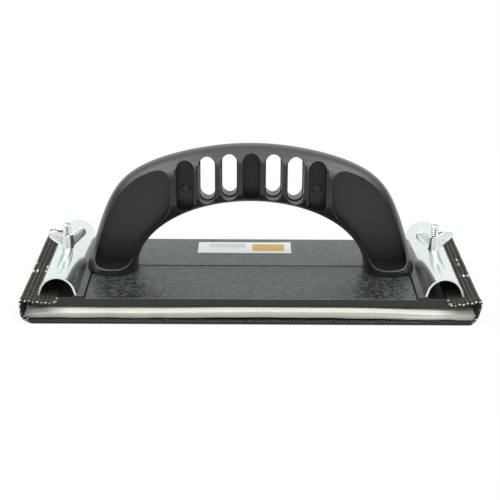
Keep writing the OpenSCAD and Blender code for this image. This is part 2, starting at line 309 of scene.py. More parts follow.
def combine(piece, tool, operation):
    """Cuts a tool out of a piece, or welds it on, and removes the tool."""
    apply_modifier(piece, "BOOLEAN", object=tool, operation=operation, solver="MANIFOLD")
    bpy.data.objects.remove(tool)


def select_only(*pieces):
    """Selects these pieces and no others, with the last of them active."""
    bpy.ops.object.select_all(action="DESELECT")
    for piece in pieces:
        piece.select_set(True)
    bpy.context.view_layer.objects.active = pieces[-1]


def smooth_faces(piece, angle):
    """Smooth shading, apart from edges sharper than an angle in degrees."""
    select_only(piece)
    bpy.ops.object.shade_smooth_by_angle(angle=math.radians(angle))


PLATE_CORNER_R = 0.003
PLATE_EDGE_R = 0.0004
LEDGE_H = 0.0052
LEDGE_W = 0.0051
LEDGE_X = 0.08505
LAND_DROP = 0.001
PANEL_EDGE_H = 0.0038
PANEL_RIDGE_H = 0.0047
PARTING_STEP = 0.0003
GROOVE_W = 0.0005
GROOVE_DEPTH = 0.0004
SPARE = 0.001
moulding_low, moulding_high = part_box("body")
plate_x = moulding_high.x
plate_y = moulding_high.y
plate_z = moulding_low.z
crown_z = moulding_high.z
ledge_z = plate_z + LEDGE_H
land_z = ledge_z - LAND_DROP
edge_z = plate_z + PANEL_EDGE_H
ridge_z = plate_z + PANEL_RIDGE_H
panel_x = LEDGE_X - LEDGE_W
past_y = plate_y + SPARE

moulding = add_block((-plate_x, -plate_y, plate_z), (plate_x, plate_y, ledge_z))
moulding.name = "moulded_body"
pick(moulding, "EDGE", lambda p: abs(p[0].z - p[1].z) > LEDGE_H / 2)
bpy.ops.mesh.bevel(offset=PLATE_CORNER_R, segments=6, affect="EDGES")
close_edit()
for side in (-1, 1):
    end = sorted((side * LEDGE_X, side * (plate_x + SPARE)))
    land_air = add_block((end[0], -past_y, land_z), (end[1], past_y, ledge_z + SPARE))
    combine(moulding, land_air, "DIFFERENCE")
for side, middle_z in ((-1, ridge_z), (1, ridge_z + PARTING_STEP)):
    half = sorted((0, side * past_y))
    fall = (middle_z - edge_z) * (1 + SPARE / plate_y)
    panel_air = add_block((-panel_x, half[0], middle_z - fall), (panel_x, half[1], ledge_z + SPARE))
    pick(panel_air, "VERT", lambda p: p[0].z < ledge_z and abs(p[0].y) < SPARE)
    bpy.ops.transform.translate(value=(0, 0, fall))
    close_edit()
    combine(moulding, panel_air, "DIFFERENCE")
    groove = sorted((side * panel_x, side * (panel_x - GROOVE_W)))
    groove_air = add_block((groove[0], -past_y, edge_z - GROOVE_DEPTH), (groove[1], past_y, ledge_z))
    combine(moulding, groove_air, "DIFFERENCE")
apply_modifier(moulding, "BEVEL", width=PLATE_EDGE_R, segments=2, limit_method="ANGLE")

BOLT_X = 0.09275
NECK_HOLE = 0.0043
HEAD_HOLE_D = 0.0098
HEAD_HOLE_DEPTH = 0.0024
for side in (-1, 1):
    spot = side * BOLT_X
    neck_air = add_block((spot - NECK_HOLE / 2, -NECK_HOLE / 2, plate_z - SPARE),
                         (spot + NECK_HOLE / 2, NECK_HOLE / 2, ledge_z + SPARE))
    combine(moulding, neck_air, "DIFFERENCE")
    combine(moulding, add_drum((spot, 0, plate_z), HEAD_HOLE_D / 2, 2 * HEAD_HOLE_DEPTH), "DIFFERENCE")

FOOT_X = 0.08285
FOOT_L = 0.0258
FOOT_T = 0.031
GRIP_T = 0.026
FINGER_H = 0.0348
LEG_LEAN = 0.0072
LEG_RISE = 0.0255
SHOULDER_IN = 0.015
SHOULDER_DROP = 0.0152
CROWN_RUN = 0.0387
FOOT_BURY = 0.002
OVAL_POWER = 2.3
INSIDE_LEAD = 0.87
BOW_RINGS = 203
BOW_SIDES = 96
finger_x = FOOT_X - FOOT_L


def bow_outside(share):
    """Point in X and Z on the outside of the bow, from a foot (0) to the crown (1)."""
    shoulder = (FOOT_X - SHOULDER_IN, crown_z - SHOULDER_DROP)
    leg = [(FOOT_X, ledge_z), (FOOT_X - LEG_LEAN, ledge_z + LEG_RISE)]
    row = [Vector(spot) for spot in leg + [shoulder, shoulder, (CROWN_RUN, crown_z), (0, crown_z)]]
    while len(row) > 1:
        row = [a.lerp(b, share) for a, b in zip(row, row[1:])]
    return row[0]


def bow_inside(share):
    """Point in X and Z on the edge of the finger gap, from a foot (0) to the middle (1)."""
    turn = math.pi / 2 * share ** INSIDE_LEAD
    return Vector((finger_x * math.cos(turn), ledge_z + FINGER_H * math.sin(turn)))


def bow_thick(share):
    """Thickness of the bow from front to back, from a foot (0) to the crown (1)."""
    return GRIP_T + (FOOT_T - GRIP_T) * (1 - share) ** 2


def bow_point(station, turn):
    """Point on the skin of the bow: station runs from the right foot (0) to the left one (1)."""
    side = 1 if station < 0.5 else -1
    share = 1 - abs(2 * station - 1)
    outside, inside = bow_outside(share), bow_inside(share)
    across = math.copysign(abs(math.cos(turn)) ** (2 / OVAL_POWER), math.cos(turn))
    deep = math.copysign(abs(math.sin(turn)) ** (2 / OVAL_POWER), math.sin(turn))
    spot = (outside + inside) / 2 + (outside - inside) / 2 * across
    return Vector((side * spot.x, deep * bow_thick(share) / 2, spot.y))


def add_tube(sides, rings):
    """An upright cylinder cut into rings, and each of its vertices with its ring and its turn."""
    tube = add_drum((0, 0, 0), 1, 1, sides)
    pick(tube, "EDGE", lambda p: abs(p[0].z - p[1].z) > 0.5)
    bpy.ops.mesh.subdivide(number_cuts=rings - 2)
    close_edit()
    skin = []
    for vertex in tube.data.vertices:
        ring = round((vertex.co.z + 0.5) * (rings - 1))
        skin.append((vertex, ring, math.atan2(vertex.co.y, vertex.co.x)))
    return tube, skin


handle, skin = add_tube(BOW_SIDES, BOW_RINGS)
for vertex, ring, turn in skin:
    station = min(max((ring - 1) / (BOW_RINGS - 3), 0), 1)
    buried = FOOT_BURY if ring in (0, BOW_RINGS - 1) else 0
    vertex.co = bow_point(station, turn) - Vector((0, 0, buried))
face_outwards(handle)

SLOT_LAST = 3
SLOTS_THROUGH = (1, 2)
SLOT_W = 0.0082
SLOT_RIB = 0.00265
SLOT_WALL = 0.0027
SLOT_FLOOR = 0.0027
SLOT_POINTS = 64
WEB_T = 0.003
WEB_RIM = 0.0005
RIM_R = 0.0008
RIM_FLARE = 0.0006
RIM_TURNS = [math.radians(turn) for turn in (0, 20, 40, 60, 80)]
CLOSE_SHARE = 1e-6
WIDEST_ACROSS = 0.999


def outside_height(x):
    """Height of the outside of the bow at a distance from its middle."""
    low, high = 0.0, 1.0
    while high - low > CLOSE_SHARE:
        share = (low + high) / 2
        low, high = (share, high) if bow_outside(share).x > x else (low, share)
    return bow_outside(low).y


def skin_depth(spot):
    """How far the skin of the bow lies in front of its middle plane, at a place in X and Z."""
    low, high = 0.0, 1.0
    while high - low > CLOSE_SHARE:
        share = (low + high) / 2
        beam = bow_outside(share) - bow_inside(share)
        off = Vector((abs(spot.x), spot.y)) - bow_inside(share)
        low, high = (share, high) if beam.x * off.y > beam.y * off.x else (low, share)
    across = min(abs(2 * off.dot(beam) / beam.dot(beam) - 1), WIDEST_ACROSS)
    return (1 - across ** OVAL_POWER) ** (1 / OVAL_POWER) * bow_thick(share) / 2


def cut_out(rings):
    """Cuts the solid that rings of points span out of the handle."""
    count = len(rings[0])
    cutter, skin = add_tube(count, len(rings))
    for vertex, ring, turn in skin:
        vertex.co = rings[ring][round(turn / math.tau * count) % count]
    face_outwards(cutter)
    combine(handle, cutter, "DIFFERENCE")


def cut_hollows(outline):
    """Cuts a hollow with rounded rims out of the front and the back of the handle, down to the web."""
    ends = zip(outline[-1:] + outline[:-1], outline[1:] + outline[:1])
    outwards = [Vector((b.y - a.y, a.x - b.x)).normalized() for a, b in ends]
    rings = [[Vector((p.x, -WEB_T / 2, p.y)) for p in outline]]
    steps = [(RIM_R * (1 - math.cos(turn)), RIM_R * (1 - math.sin(turn))) for turn in RIM_TURNS]
    wide, deep = steps[-1]
    last = RIM_TURNS[-1]
    steps.append((wide + RIM_FLARE * math.sin(last), deep - RIM_FLARE * math.cos(last)))
    for wider, sunk in steps:
        spots = [p + out * wider for p, out in zip(outline, outwards)]
        rings.append([Vector((p.x, sunk - skin_depth(p), p.y)) for p in spots])
    rings.append([Vector((p.x, -FOOT_T, p.z)) for p in rings[-1]])
    cut_out(rings)
    cut_out([[Vector((p.x, -p.y, p.z)) for p in ring] for ring in rings])


def stadium(x, low, high, width):
    """Upright outline with round ends, in X and Z."""
    half = width / 2
    turns = [math.tau * (k + 0.5) / SLOT_POINTS for k in range(SLOT_POINTS)]
    ends = [high - half if turn < math.pi else low + half for turn in turns]
    return [Vector((x + half * math.cos(t), z + half * math.sin(t))) for t, z in zip(turns, ends)]


def slot_ends(index):
    """Middle of a slot, and its lowest and highest point."""
    x = index * (SLOT_W + SLOT_RIB)
    inside_height = ledge_z + FINGER_H * math.sqrt(1 - (x / finger_x) ** 2)
    return x, inside_height + SLOT_FLOOR, outside_height(abs(x)) - SLOT_WALL


for index in range(-SLOT_LAST, SLOT_LAST + 1):
    x, low, high = slot_ends(index)
    cut_hollows(stadium(x, low, high, SLOT_W))
    if abs(index) in SLOTS_THROUGH:
        window = stadium(x, low + WEB_RIM, high - WEB_RIM, SLOT_W - 2 * WEB_RIM)
        cut_out([[Vector((p.x, y, p.y)) for p in window] for y in (-WEB_T, WEB_T)])

POCKET_WALL_OUT = 0.0026
POCKET_WALL_IN = 0.0031
POCKET_FLOOR = 0.0025
POCKET_STEPS = 400
POCKET_POINTS = 160
POCKET_ROUNDING = 41
POCKET_TIP_ROUNDING = 90
POCKET_TIP = 0.016
pocket_x = SLOT_LAST * (SLOT_W + SLOT_RIB) + SLOT_W / 2 + SLOT_RIB


def evenly(points, count):
    """That many points, evenly spread along a closed line."""
    loop = points + points[:1]
    lengths = [(b - a).length for a, b in zip(loop, loop[1:])]
    step = sum(lengths) / count
    spread, left, along = [], 0, 0.0
    for k in range(count):
        while along + lengths[left] < k * step:
            along += lengths[left]
            left += 1
        spread.append(loop[left].lerp(loop[left + 1], (k * step - along) / lengths[left]))
    return spread


def pocket_outline():
    """Hollow of the right leg in X and Z, with rounded corners: up its outer wall, down its inner one."""
    outer_wall, inner_wall = [], []
    for k in range(POCKET_STEPS + 1):
        outside, inside = bow_outside(k / POCKET_STEPS), bow_inside(k / POCKET_STEPS)
        towards = (inside - outside).normalized()
        outer_wall.append(outside + towards * POCKET_WALL_OUT)
        inner_wall.append(inside - towards * POCKET_WALL_IN)
    walls = outer_wall + inner_wall[::-1]
    sharp = [p for p in walls if p.x > pocket_x and p.y > ledge_z + POCKET_FLOOR]
    line = evenly(sharp, POCKET_POINTS)
    for step in range(POCKET_ROUNDING + POCKET_TIP_ROUNDING):
        for k, (a, p, b) in enumerate(list(zip(line[-1:] + line, line, line[1:] + line[:1]))):
            if step < POCKET_ROUNDING or p.x < pocket_x + POCKET_TIP:
                line[k] = (a + b) / 4 + p / 2
    return line


right_pocket = pocket_outline()
cut_hollows(right_pocket)
cut_hollows([Vector((-p.x, p.y)) for p in right_pocket[::-1]])
combine(moulding, handle, "UNION")

MARK_R = 0.0023
MARK_RIM_R = 0.0003
MARK_UP = 0.010
for index in (-SLOT_LAST, SLOT_LAST):
    x, low, high = slot_ends(index)
    bpy.ops.mesh.primitive_torus_add(
        major_radius=MARK_R, minor_radius=MARK_RIM_R, major_segments=32, minor_segments=8,
        location=(x, -WEB_T / 2, low + MARK_UP), rotation=(math.pi / 2, 0, 0))
    combine(moulding, settle(), "UNION")
smooth_faces(moulding, angle=40)
apply_modifier(moulding, "WEIGHTED_NORMAL", weight=50, keep_sharp=True)


def new_group(name, inputs, output):
    """A node group of plain numbers: its tree, its input sockets and the socket of its one output."""
    group = bpy.data.node_groups.new(name, "ShaderNodeTree")
    new_socket = group.interface.new_socket
    for label, value in inputs.items():
        new_socket(label, in_out="INPUT", socket_type="NodeSocketFloat").default_value = value
    new_socket(output, in_out="OUTPUT", socket_type="NodeSocketFloat")
    given = group.nodes.new("NodeGroupInput").outputs
    return group, given, group.nodes.new("NodeGroupOutput").inputs[0]


def add_effect(tree, group, **inputs):
    """Places a node group in a material and returns its output."""
    made = tree.nodes.new("ShaderNodeGroup")
    made.node_tree = group
    for name, value in inputs.items():
        join(tree, made.inputs[name], value)
    return made.outputs[0]


def object_place(tree):
    """Place on the piece, in metres."""
    return add_node(tree, "TexCoord").outputs["Object"]


def place_axes(tree):
    """X, Y and Z of the place on the piece."""
    return axes_of(tree, object_place(tree))


def facing_axes(tree):
    """X, Y and Z of the way that the surface faces."""
    return axes_of(tree, add_node(tree, "NewGeometry").outputs["Normal"])


def new_material(name, **settings):
    """A material with a Principled shader whose plain sockets are set."""
    made = bpy.data.materials.new(name)
    made.use_nodes = True
    shader = made.node_tree.nodes["Principled BSDF"]
    for socket, value in settings.items():
        shader.inputs[socket.replace("_", " ")].default_value = value
    return made, made.node_tree, shader


def tinted(tree, colour, tint, mask, share=None):
    """A colour with a tint laid over it where a mask says, in full or by a share."""
    return add_mix(tree, mask if share is None else product(tree, mask, share), colour, tint)


def finish_surface(tree, shader, colour, rough, relief, strength, depth):
    """Gives a shader its colour, its roughness and a fine relief."""
    join(tree, shader.inputs["Base Color"], colour)
    join(tree, shader.inputs["Roughness"], rough)
    bump = add_node(tree, "Bump", Strength=strength, Distance=depth, Height=relief)
    join(tree, shader.inputs["Normal"], bump.outputs["Normal"])


def coat(piece, material):
    """Makes a material the only one of a piece."""
    piece.data.materials.clear()
    piece.data.materials.append(material)


# Cloudy patches from 0 to 1
mottle, given, put = new_group("mottle", {"Scale": 60.0, "Low": 0.3, "High": 0.7}, "Shade")
clouds = add_node(mottle, "TexNoise", Vector=object_place(mottle), Scale=given["Scale"],
                  Detail=5.0, Roughness=0.6)
join(mottle, put, add_range(mottle, clouds.outputs[0], given["Low"], given["High"]))

# Fine streaks, stretched by a different scale on each axis
STREAK_CONTRAST = (0.3, 0.7)
streaks, given, put = new_group("streaks", {"X": 40.0, "Y": 900.0, "Z": 900.0}, "Shade")
stretch = add_node(streaks, "CombineXYZ", X=given["X"], Y=given["Y"], Z=given["Z"])
stretched = add_node(streaks, "VectorMath")
stretched.operation = "MULTIPLY"
join(streaks, stretched.inputs[0], object_place(streaks))
join(streaks, stretched.inputs[1], stretch.outputs[0])
lines = add_node(streaks, "TexNoise", Vector=stretched.outputs[0], Scale=1.0, Detail=3.0, Roughness=0.65)
join(streaks, put, add_range(streaks, lines.outputs[0], *STREAK_CONTRAST))

# Sparse round specks, as of dust or pores
specks, given, put = new_group("specks", {"Scale": 300.0, "Size": 0.2, "Share": 0.05}, "Mask")
cells = add_node(specks, "TexVoronoi", Vector=object_place(specks), Scale=given["Scale"])
near = add_math(specks, "LESS_THAN", cells.outputs["Distance"], given["Size"])
chance = add_node(specks, "SeparateColor", Color=cells.outputs["Color"])
chosen = add_math(specks, "LESS_THAN", chance.outputs[0], given["Share"])
join(specks, put, product(specks, near, chosen))

# Sharp edges, broken up by clouds: rubbed wear, and a painted edge highlight
BREAK_FROM = (0.3, 0.6)
BREAK_SHARE = (0.4, 1.0)
rubbed, given, put = new_group("rubbed_edges_and_highlight", {"Low": 0.51, "High": 0.56, "Scale": 400.0}, "Mask")
pointed = add_node(rubbed, "NewGeometry").outputs["Pointiness"]
sharp = add_range(rubbed, pointed, given["Low"], given["High"])
uneven = add_node(rubbed, "TexNoise", Vector=object_place(rubbed), Scale=given["Scale"], Detail=3.0)
broken = add_range(rubbed, uneven.outputs[0], *BREAK_FROM, *BREAK_SHARE)
join(rubbed, put, product(rubbed, sharp, broken))

PLASTIC_DARK = (0.0085, 0.0090, 0.0080, 1)
PLASTIC_PALE = (0.020, 0.022, 0.018, 1)
PLASTIC_DUST_AND_SHEEN = (0.070, 0.081, 0.071, 1)
PLASTIC_WEAR_AND_HIGHLIGHT = (0.075, 0.078, 0.074, 1)
PLASTIC_EDGE_HIGHLIGHT = (0.13, 0.135, 0.13, 1)
DUST = (0.62, 0.62, 0.58, 1)
PLASTIC_ROUGH = (0.24, 0.32)
PLATE_ROUGHER = 0.02
FLOW_ROUGHER = 0.10
FLOW_RELIEF = 0.8
GRAIN_RELIEF = 0.7
SLOT_WEB_ROUGHER = 0.16
POCKET_WEB_ROUGHER = 0.02
PATCH_SHADE = 0.6
PATCH_DUST_AND_SHEEN = 0.3
DUST_AND_SHEEN_FROM = (0.55, 0.85)
FRONT_DUST_AND_SHEEN = 0.75
FACING_UP = (0.8, 0.97)
FACING_FRONT = (0.8, 0.95)
PANEL_SUNK = (0.00018, 0.00005)
PANEL_SOFT = 0.0002
PARTING_SOFT = 0.001
WEB_SKIN = (0.0018, 0.0022)
SLOTS_END = (0.002, 0.001)
HANDLE_RISE = (0.0001, 0.0004)
HIGHLIGHT_LINE = (0.0006, 0.0003)
HIGHLIGHT_SHARE = 0.8
plastic, tree, shader = new_material("satin_black_plastic")
place = place_axes(tree)
facing = facing_axes(tree)
from_middle = unsigned(tree, place["X"])
from_web = unsigned(tree, place["Y"])
on_panel = product(
    tree, add_range(tree, place["Z"], ledge_z - PANEL_SUNK[0], ledge_z - PANEL_SUNK[1], 1.0, 0.0),
    add_range(tree, facing["Z"], *FACING_UP),
    add_range(tree, from_middle, panel_x, panel_x + PANEL_SOFT, 1.0, 0.0))
on_web = product(tree, add_range(tree, from_web, *WEB_SKIN, 1.0, 0.0),
                 add_range(tree, unsigned(tree, facing["Y"]), *FACING_FRONT))
web_rougher = add_range(tree, from_middle, pocket_x - SLOTS_END[0], pocket_x - SLOTS_END[1],
                        SLOT_WEB_ROUGHER, POCKET_WEB_ROUGHER)
on_handle = add_range(tree, place["Z"], ledge_z + HANDLE_RISE[0], ledge_z + HANDLE_RISE[1])
flow = product(tree, add_effect(tree, streaks, X=420.0, Y=560.0, Z=560.0), on_panel)
patches = add_effect(tree, mottle, Scale=70.0)
grain = add_effect(tree, mottle, Scale=1000.0)
edges = product(tree, add_effect(tree, rubbed, Low=0.52, High=0.60, Scale=500.0), on_handle)
dust = add_effect(tree, specks, Scale=160.0, Size=0.12, Share=0.025)
shade = add_math(tree, "MAXIMUM", flow, product(tree, patches, PATCH_SHADE))
colour = add_mix(tree, shade, PLASTIC_DARK, PLASTIC_PALE)
# A pale film on the panel: partly dust, partly painted sheen. The front half of the panel gets less of
# it.
dust_and_sheen = add_range(tree, total(tree, flow, product(tree, patches, PATCH_DUST_AND_SHEEN)), *DUST_AND_SHEEN_FROM)
front_dust_and_sheen = add_range(tree, place["Y"], -PARTING_SOFT, PARTING_SOFT, FRONT_DUST_AND_SHEEN, 1.0)
colour = tinted(tree, colour, PLASTIC_DUST_AND_SHEEN, product(tree, dust_and_sheen, front_dust_and_sheen, on_panel))
# Sharp edges of the handle are lightened: partly rubbed wear, partly a painted edge highlight.
colour = tinted(tree, colour, PLASTIC_WEAR_AND_HIGHLIGHT, edges, share=0.55)
# A light line along the top of the plate's front and back edges: a painted highlight.
painted_edge_highlight = product(tree, add_range(tree, from_web, plate_y - HIGHLIGHT_LINE[0], plate_y - HIGHLIGHT_LINE[1]),
              add_range(tree, facing["Z"], *FACING_UP, 0.0, HIGHLIGHT_SHARE))
colour = tinted(tree, colour, PLASTIC_EDGE_HIGHLIGHT, painted_edge_highlight)
colour = tinted(tree, colour, DUST, dust, share=0.5)
rough = total(tree, add_range(tree, patches, 0, 1, *PLASTIC_ROUGH), product(tree, flow, FLOW_ROUGHER),
              add_range(tree, on_handle, 0, 1, PLATE_ROUGHER, 0.0), product(tree, on_web, web_rougher))
relief = total(tree, product(tree, flow, FLOW_RELIEF), product(tree, grain, GRAIN_RELIEF))
finish_surface(tree, shader, colour, rough, relief, strength=0.9, depth=0.00008)
coat(moulding, plastic)
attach(moulding, "sander")
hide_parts("body")

# Label: a small semi-gloss paper sticker, pressed on to the back half of the panel. Its print
# is a plain amber field beside a row of plain upright ticks.
LABEL_T = 0.00015
LABEL_GAP = 0.00001
LABEL_CURL = 0.00025
CURL_SHARE = 0.25
label_low, label_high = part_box("label")
label_size = label_high - label_low
label_middle = (label_low + label_high) / 2
bpy.ops.mesh.primitive_grid_add(x_subdivisions=40, y_subdivisions=16, size=1)
sticker = bpy.context.active_object
sticker.name = "paper_label"
back_fall = (ridge_z + PARTING_STEP - edge_z) / plate_y
for vertex in sticker.data.vertices:
    u, v = vertex.co.x + 0.5, vertex.co.y + 0.5
    y = label_low.y + v * label_size.y
    curl = LABEL_CURL * (max(u + v - 2 + CURL_SHARE, 0) / CURL_SHARE) ** 2
    panel_z = ridge_z + PARTING_STEP - back_fall * y
    vertex.co = (label_low.x + u * label_size.x, y, panel_z + LABEL_GAP + curl)
apply_modifier(sticker, "SOLIDIFY", thickness=LABEL_T, offset=1)
smooth_faces(sticker, angle=40)
PAPER = (0.86, 0.875, 0.87, 1)
PAPER_SHADE = (0.78, 0.80, 0.80, 1)
AMBER = (0.62, 0.36, 0.05, 1)
INK = (0.16, 0.165, 0.19, 1)
PAPER_ROUGH = (0.42, 0.55)
FIELD_X = (0.001, 0.0176)
FIELD_HALF_W = 0.0058
TICKS_X = (-0.0186, 0.0005)
TICKS_Y = (0.0004, 0.0070)
TICK_PITCH = 0.00147
TICK_SHARE = (0.25, 0.7)
TICK_SOFT = 0.08
PRINT_SOFT = 0.0002
TICK_END_SOFT = 0.0003
paper, tree, shader = new_material("printed_paper", Specular_IOR_Level=0.4)
place = place_axes(tree)
middle_y = label_middle.y
field = product(tree, within(tree, place["X"], *FIELD_X, PRINT_SOFT),
                within(tree, place["Y"], middle_y - FIELD_HALF_W, middle_y + FIELD_HALF_W, PRINT_SOFT))
across = add_math(tree, "SUBTRACT", place["X"], label_middle.x)
row = add_math(tree, "WRAP", add_math(tree, "DIVIDE", across, TICK_PITCH), 1.0)
ticks = product(
    tree, within(tree, across, *TICKS_X, PRINT_SOFT), within(tree, row, *TICK_SHARE, TICK_SOFT),
    within(tree, place["Y"], middle_y + TICKS_Y[0], middle_y + TICKS_Y[1], TICK_END_SOFT))
fibres = add_effect(tree, mottle, Scale=900.0, High=0.75)
colour = add_mix(tree, fibres, PAPER, PAPER_SHADE)
colour = tinted(tree, colour, AMBER, field, share=0.92)
colour = tinted(tree, colour, INK, ticks, share=0.75)
rough = add_range(tree, fibres, 0, 1, *PAPER_ROUGH)
finish_surface(tree, shader, colour, rough, fibres, strength=0.2, depth=0.00003)
coat(sticker, paper)
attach(sticker, "sander")
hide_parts("label")

# Foam pad: a soft closed-cell sheet bonded under the plate, a little wider than it. Its cut
# edges are wavy and hang away from the plate towards the ends, where the taut mesh squeezes
# it. Its lower front carries painted shade, more towards the right, and its top painted light near the
# ends.
FOAM_CUTS = {"x": 239, "y": 39, "z": 13}
FOAM_LIP_R = 0.0003
LIP_FROM = 0.85
FOAM_UNDERCUT = 0.0030
UNDERCUT_MIDDLE = 0.1
UNDERCUT_FADE = (0.15, 0.6)
UNDERCUT_FROM = 0.62
UNDERCUT_RISE = 0.22
FOAM_WAVE = 0.0006
WAVE_CREST = 0.3
WAVES = ((1.0, 70, 3, 7.3), (0.5, 190, 1, 2.6))
FOAM_DROOP = 0.00035
DROOP_PAST = (-0.0015, 0.0008)
FOAM_LEAN = 0.0009
LEAN_FROM = (0, 0.55)
FOAM_PEEL = {-1: (0.0012, 0.91, 1.01), 1: (0.00145, 0.42, 0.96)}
PEEL_PAST = (-0.006, -0.0005)
FOAM_FORWARD = 0.0010
FORWARD_RIGHT = (0.35, 0.85)
FORWARD_DOWN = (-0.5, 0.5)
FOAM_END_R = 0.003
FOAM_SHORT = {-1: 0.0, 1: 0.0008}
END_FROM = 0.8
foam_low, foam_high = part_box("foam_pad")
foam_middle = (foam_low + foam_high) / 2
foam_half = (foam_high - foam_low) / 2


def ease(value, low, high):
    """Smooth step from 0 to 1 between two limits."""
    share = min(max((value - low) / (high - low), 0), 1)
    return share * share * (3 - 2 * share)


def waver(first, second, pattern):
    """Smooth noise about 0 over two measures, by a pattern of two scales and a seed."""
    return noise.noise(Vector((first * pattern[0], second * pattern[1], pattern[2])))


foam = add_block(foam_low, foam_high)
foam.name = "soft_foam"
for axis, cuts in FOAM_CUTS.items():
    pick(foam, "EDGE", lambda p: abs(getattr(p[0] - p[1], axis)) > getattr(foam_half, axis))
    bpy.ops.mesh.subdivide(number_cuts=cuts)
    close_edit()
for vertex in foam.data.vertices:
    u = (vertex.co.x - foam_middle.x) / foam_half.x
    v = (vertex.co.y - foam_middle.y) / foam_half.y
    w = (vertex.co.z - foam_middle.z) / foam_half.z
    side = 1 if u > 0 else -1
    past = abs(vertex.co.y) - plate_y
    wave = sum(share * waver(vertex.co.x, v, pattern) for share, *pattern in WAVES)
    aside = ease(abs(u - UNDERCUT_MIDDLE), *UNDERCUT_FADE)
    undercut = FOAM_UNDERCUT * (1 - aside / 2) * ease(-w, UNDERCUT_FROM + UNDERCUT_RISE * aside, 1)
    sunk = FOAM_LIP_R * ease(w, LIP_FROM, 1) + undercut + FOAM_WAVE * max(WAVE_CREST - wave, 0)
    forward = FOAM_FORWARD * ease(u, *FORWARD_RIGHT) * max(-v, 0) * ease(-w, *FORWARD_DOWN)
    droop = (FOAM_DROOP + FOAM_LEAN * ease(-u, *LEAN_FROM)) * ease(past, *DROOP_PAST)
    deepest, near, far = FOAM_PEEL[side]
    peel = deepest * ease(abs(u), near, far) * ease(past, *PEEL_PAST)
    under = max(FOAM_END_R - (w + 1) * foam_half.z, 0)
    drawn = FOAM_END_R - math.sqrt(FOAM_END_R ** 2 - under ** 2) + FOAM_SHORT[side]
    vertex.co.x = foam_middle.x + u * (foam_half.x - drawn * ease(abs(u), END_FROM, 1))
    vertex.co.y = foam_middle.y + v * (foam_half.y - sunk) - forward
    vertex.co.z -= (droop + peel) * (w + 1) / 2
smooth_faces(foam, angle=50)
FOAM_CREAM = (0.70, 0.68, 0.62, 1)
FOAM_PAINTED_LIGHT = (0.88, 0.865, 0.80, 1)
FOAM_GREY_AND_SHADE = (0.57, 0.555, 0.50, 1)
FOAM_STAIN = (0.16, 0.085, 0.03, 1)
FOAM_DARKER = (0.30, 0.28, 0.25, 1)
FOAM_ROUGH = (0.75, 0.95)
LOWER_HALF = (0.0006, -0.0012)
DARKER_END = (0.006, 0.001)
SHADE_RIGHT = (0.035, 0.080)
SHADE_RIGHT_SHARE = 0.5
LIGHT_FROM = (0.076, 0.094)
LIGHT_SHARE = 0.85
STAIN_X = (-0.1035, -0.0985)
STAIN_SOFT = 0.0025
STAIN_DOWN = (0.0016, 0.0004)
soft, tree, shader = new_material("cream_foam", Specular_IOR_Level=0.25)
place = place_axes(tree)
from_middle = unsigned(tree, place["X"])
clouds = add_effect(tree, mottle, Scale=130.0)
cells = add_effect(tree, mottle, Scale=2200.0, Low=0.25, High=0.75)
pores = add_effect(tree, specks, Scale=1300.0, Size=0.30, Share=0.3)
lower = add_range(tree, place["Z"], foam_middle.z + LOWER_HALF[0], foam_middle.z + LOWER_HALF[1])
colour = tinted(tree, FOAM_CREAM, FOAM_GREY_AND_SHADE, clouds, share=0.35)
# The lower half of the foam is painted greyer: painted shade.
colour = tinted(tree, colour, FOAM_GREY_AND_SHADE, lower, share=0.6)
colour = tinted(tree, colour, FOAM_GREY_AND_SHADE, pores, share=0.25)
# Towards the right, where the lower front leans out, it is painted darker still: painted shade.
painted_shade_right = product(tree, lower, add_range(tree, place["X"], *SHADE_RIGHT, 0.0, SHADE_RIGHT_SHARE))
colour = tinted(tree, colour, FOAM_DARKER, painted_shade_right)
# The top half near both ends is painted paler: painted light.
painted_light_ends = product(tree, add_range(tree, from_middle, *LIGHT_FROM, 0.0, LIGHT_SHARE),
                add_math(tree, "SUBTRACT", 1.0, lower))
colour = tinted(tree, colour, FOAM_PAINTED_LIGHT, painted_light_ends)
# The lower half is darker over the last few millimetres of each end.
ends = add_range(tree, from_middle, foam_half.x - DARKER_END[0], foam_half.x - DARKER_END[1])
colour = tinted(tree, colour, FOAM_DARKER, product(tree, ends, lower), share=0.6)
stain = product(tree, within(tree, place["X"], *STAIN_X, STAIN_SOFT),
                add_range(tree, place["Z"], foam_high.z - STAIN_DOWN[0], foam_high.z - STAIN_DOWN[1]))
colour = tinted(tree, colour, FOAM_STAIN, stain, share=0.8)
rough = add_range(tree, cells, 0, 1, *FOAM_ROUGH)
relief = add_math(tree, "SUBTRACT", cells, pores)
finish_surface(tree, shader, colour, rough, relief, strength=0.5, depth=0.0001)
coat(foam, soft)
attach(foam, "sander")
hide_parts("foam_pad")

# Bonding film: contact adhesive brushed thinly on to the plate, which holds the foam. It lies
# between the two and hardly shows.
GLUE_BROWN = (0.12, 0.085, 0.035, 1)
GLUE_PALE = (0.22, 0.16, 0.07, 1)
GLUE_ROUGH = (0.25, 0.5)
glue, tree, shader = new_material("contact_adhesive", Specular_IOR_Level=0.5)
brushed = add_effect(tree, streaks, X=60.0, Y=500.0, Z=500.0)
colour = add_mix(tree, brushed, GLUE_BROWN, GLUE_PALE)
rough = add_range(tree, brushed, 0, 1, *GLUE_ROUGH)
finish_surface(tree, shader, colour, rough, brushed, strength=0.3, depth=0.00005)
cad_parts["foam_adhesive"].material_slots[0].material = glue

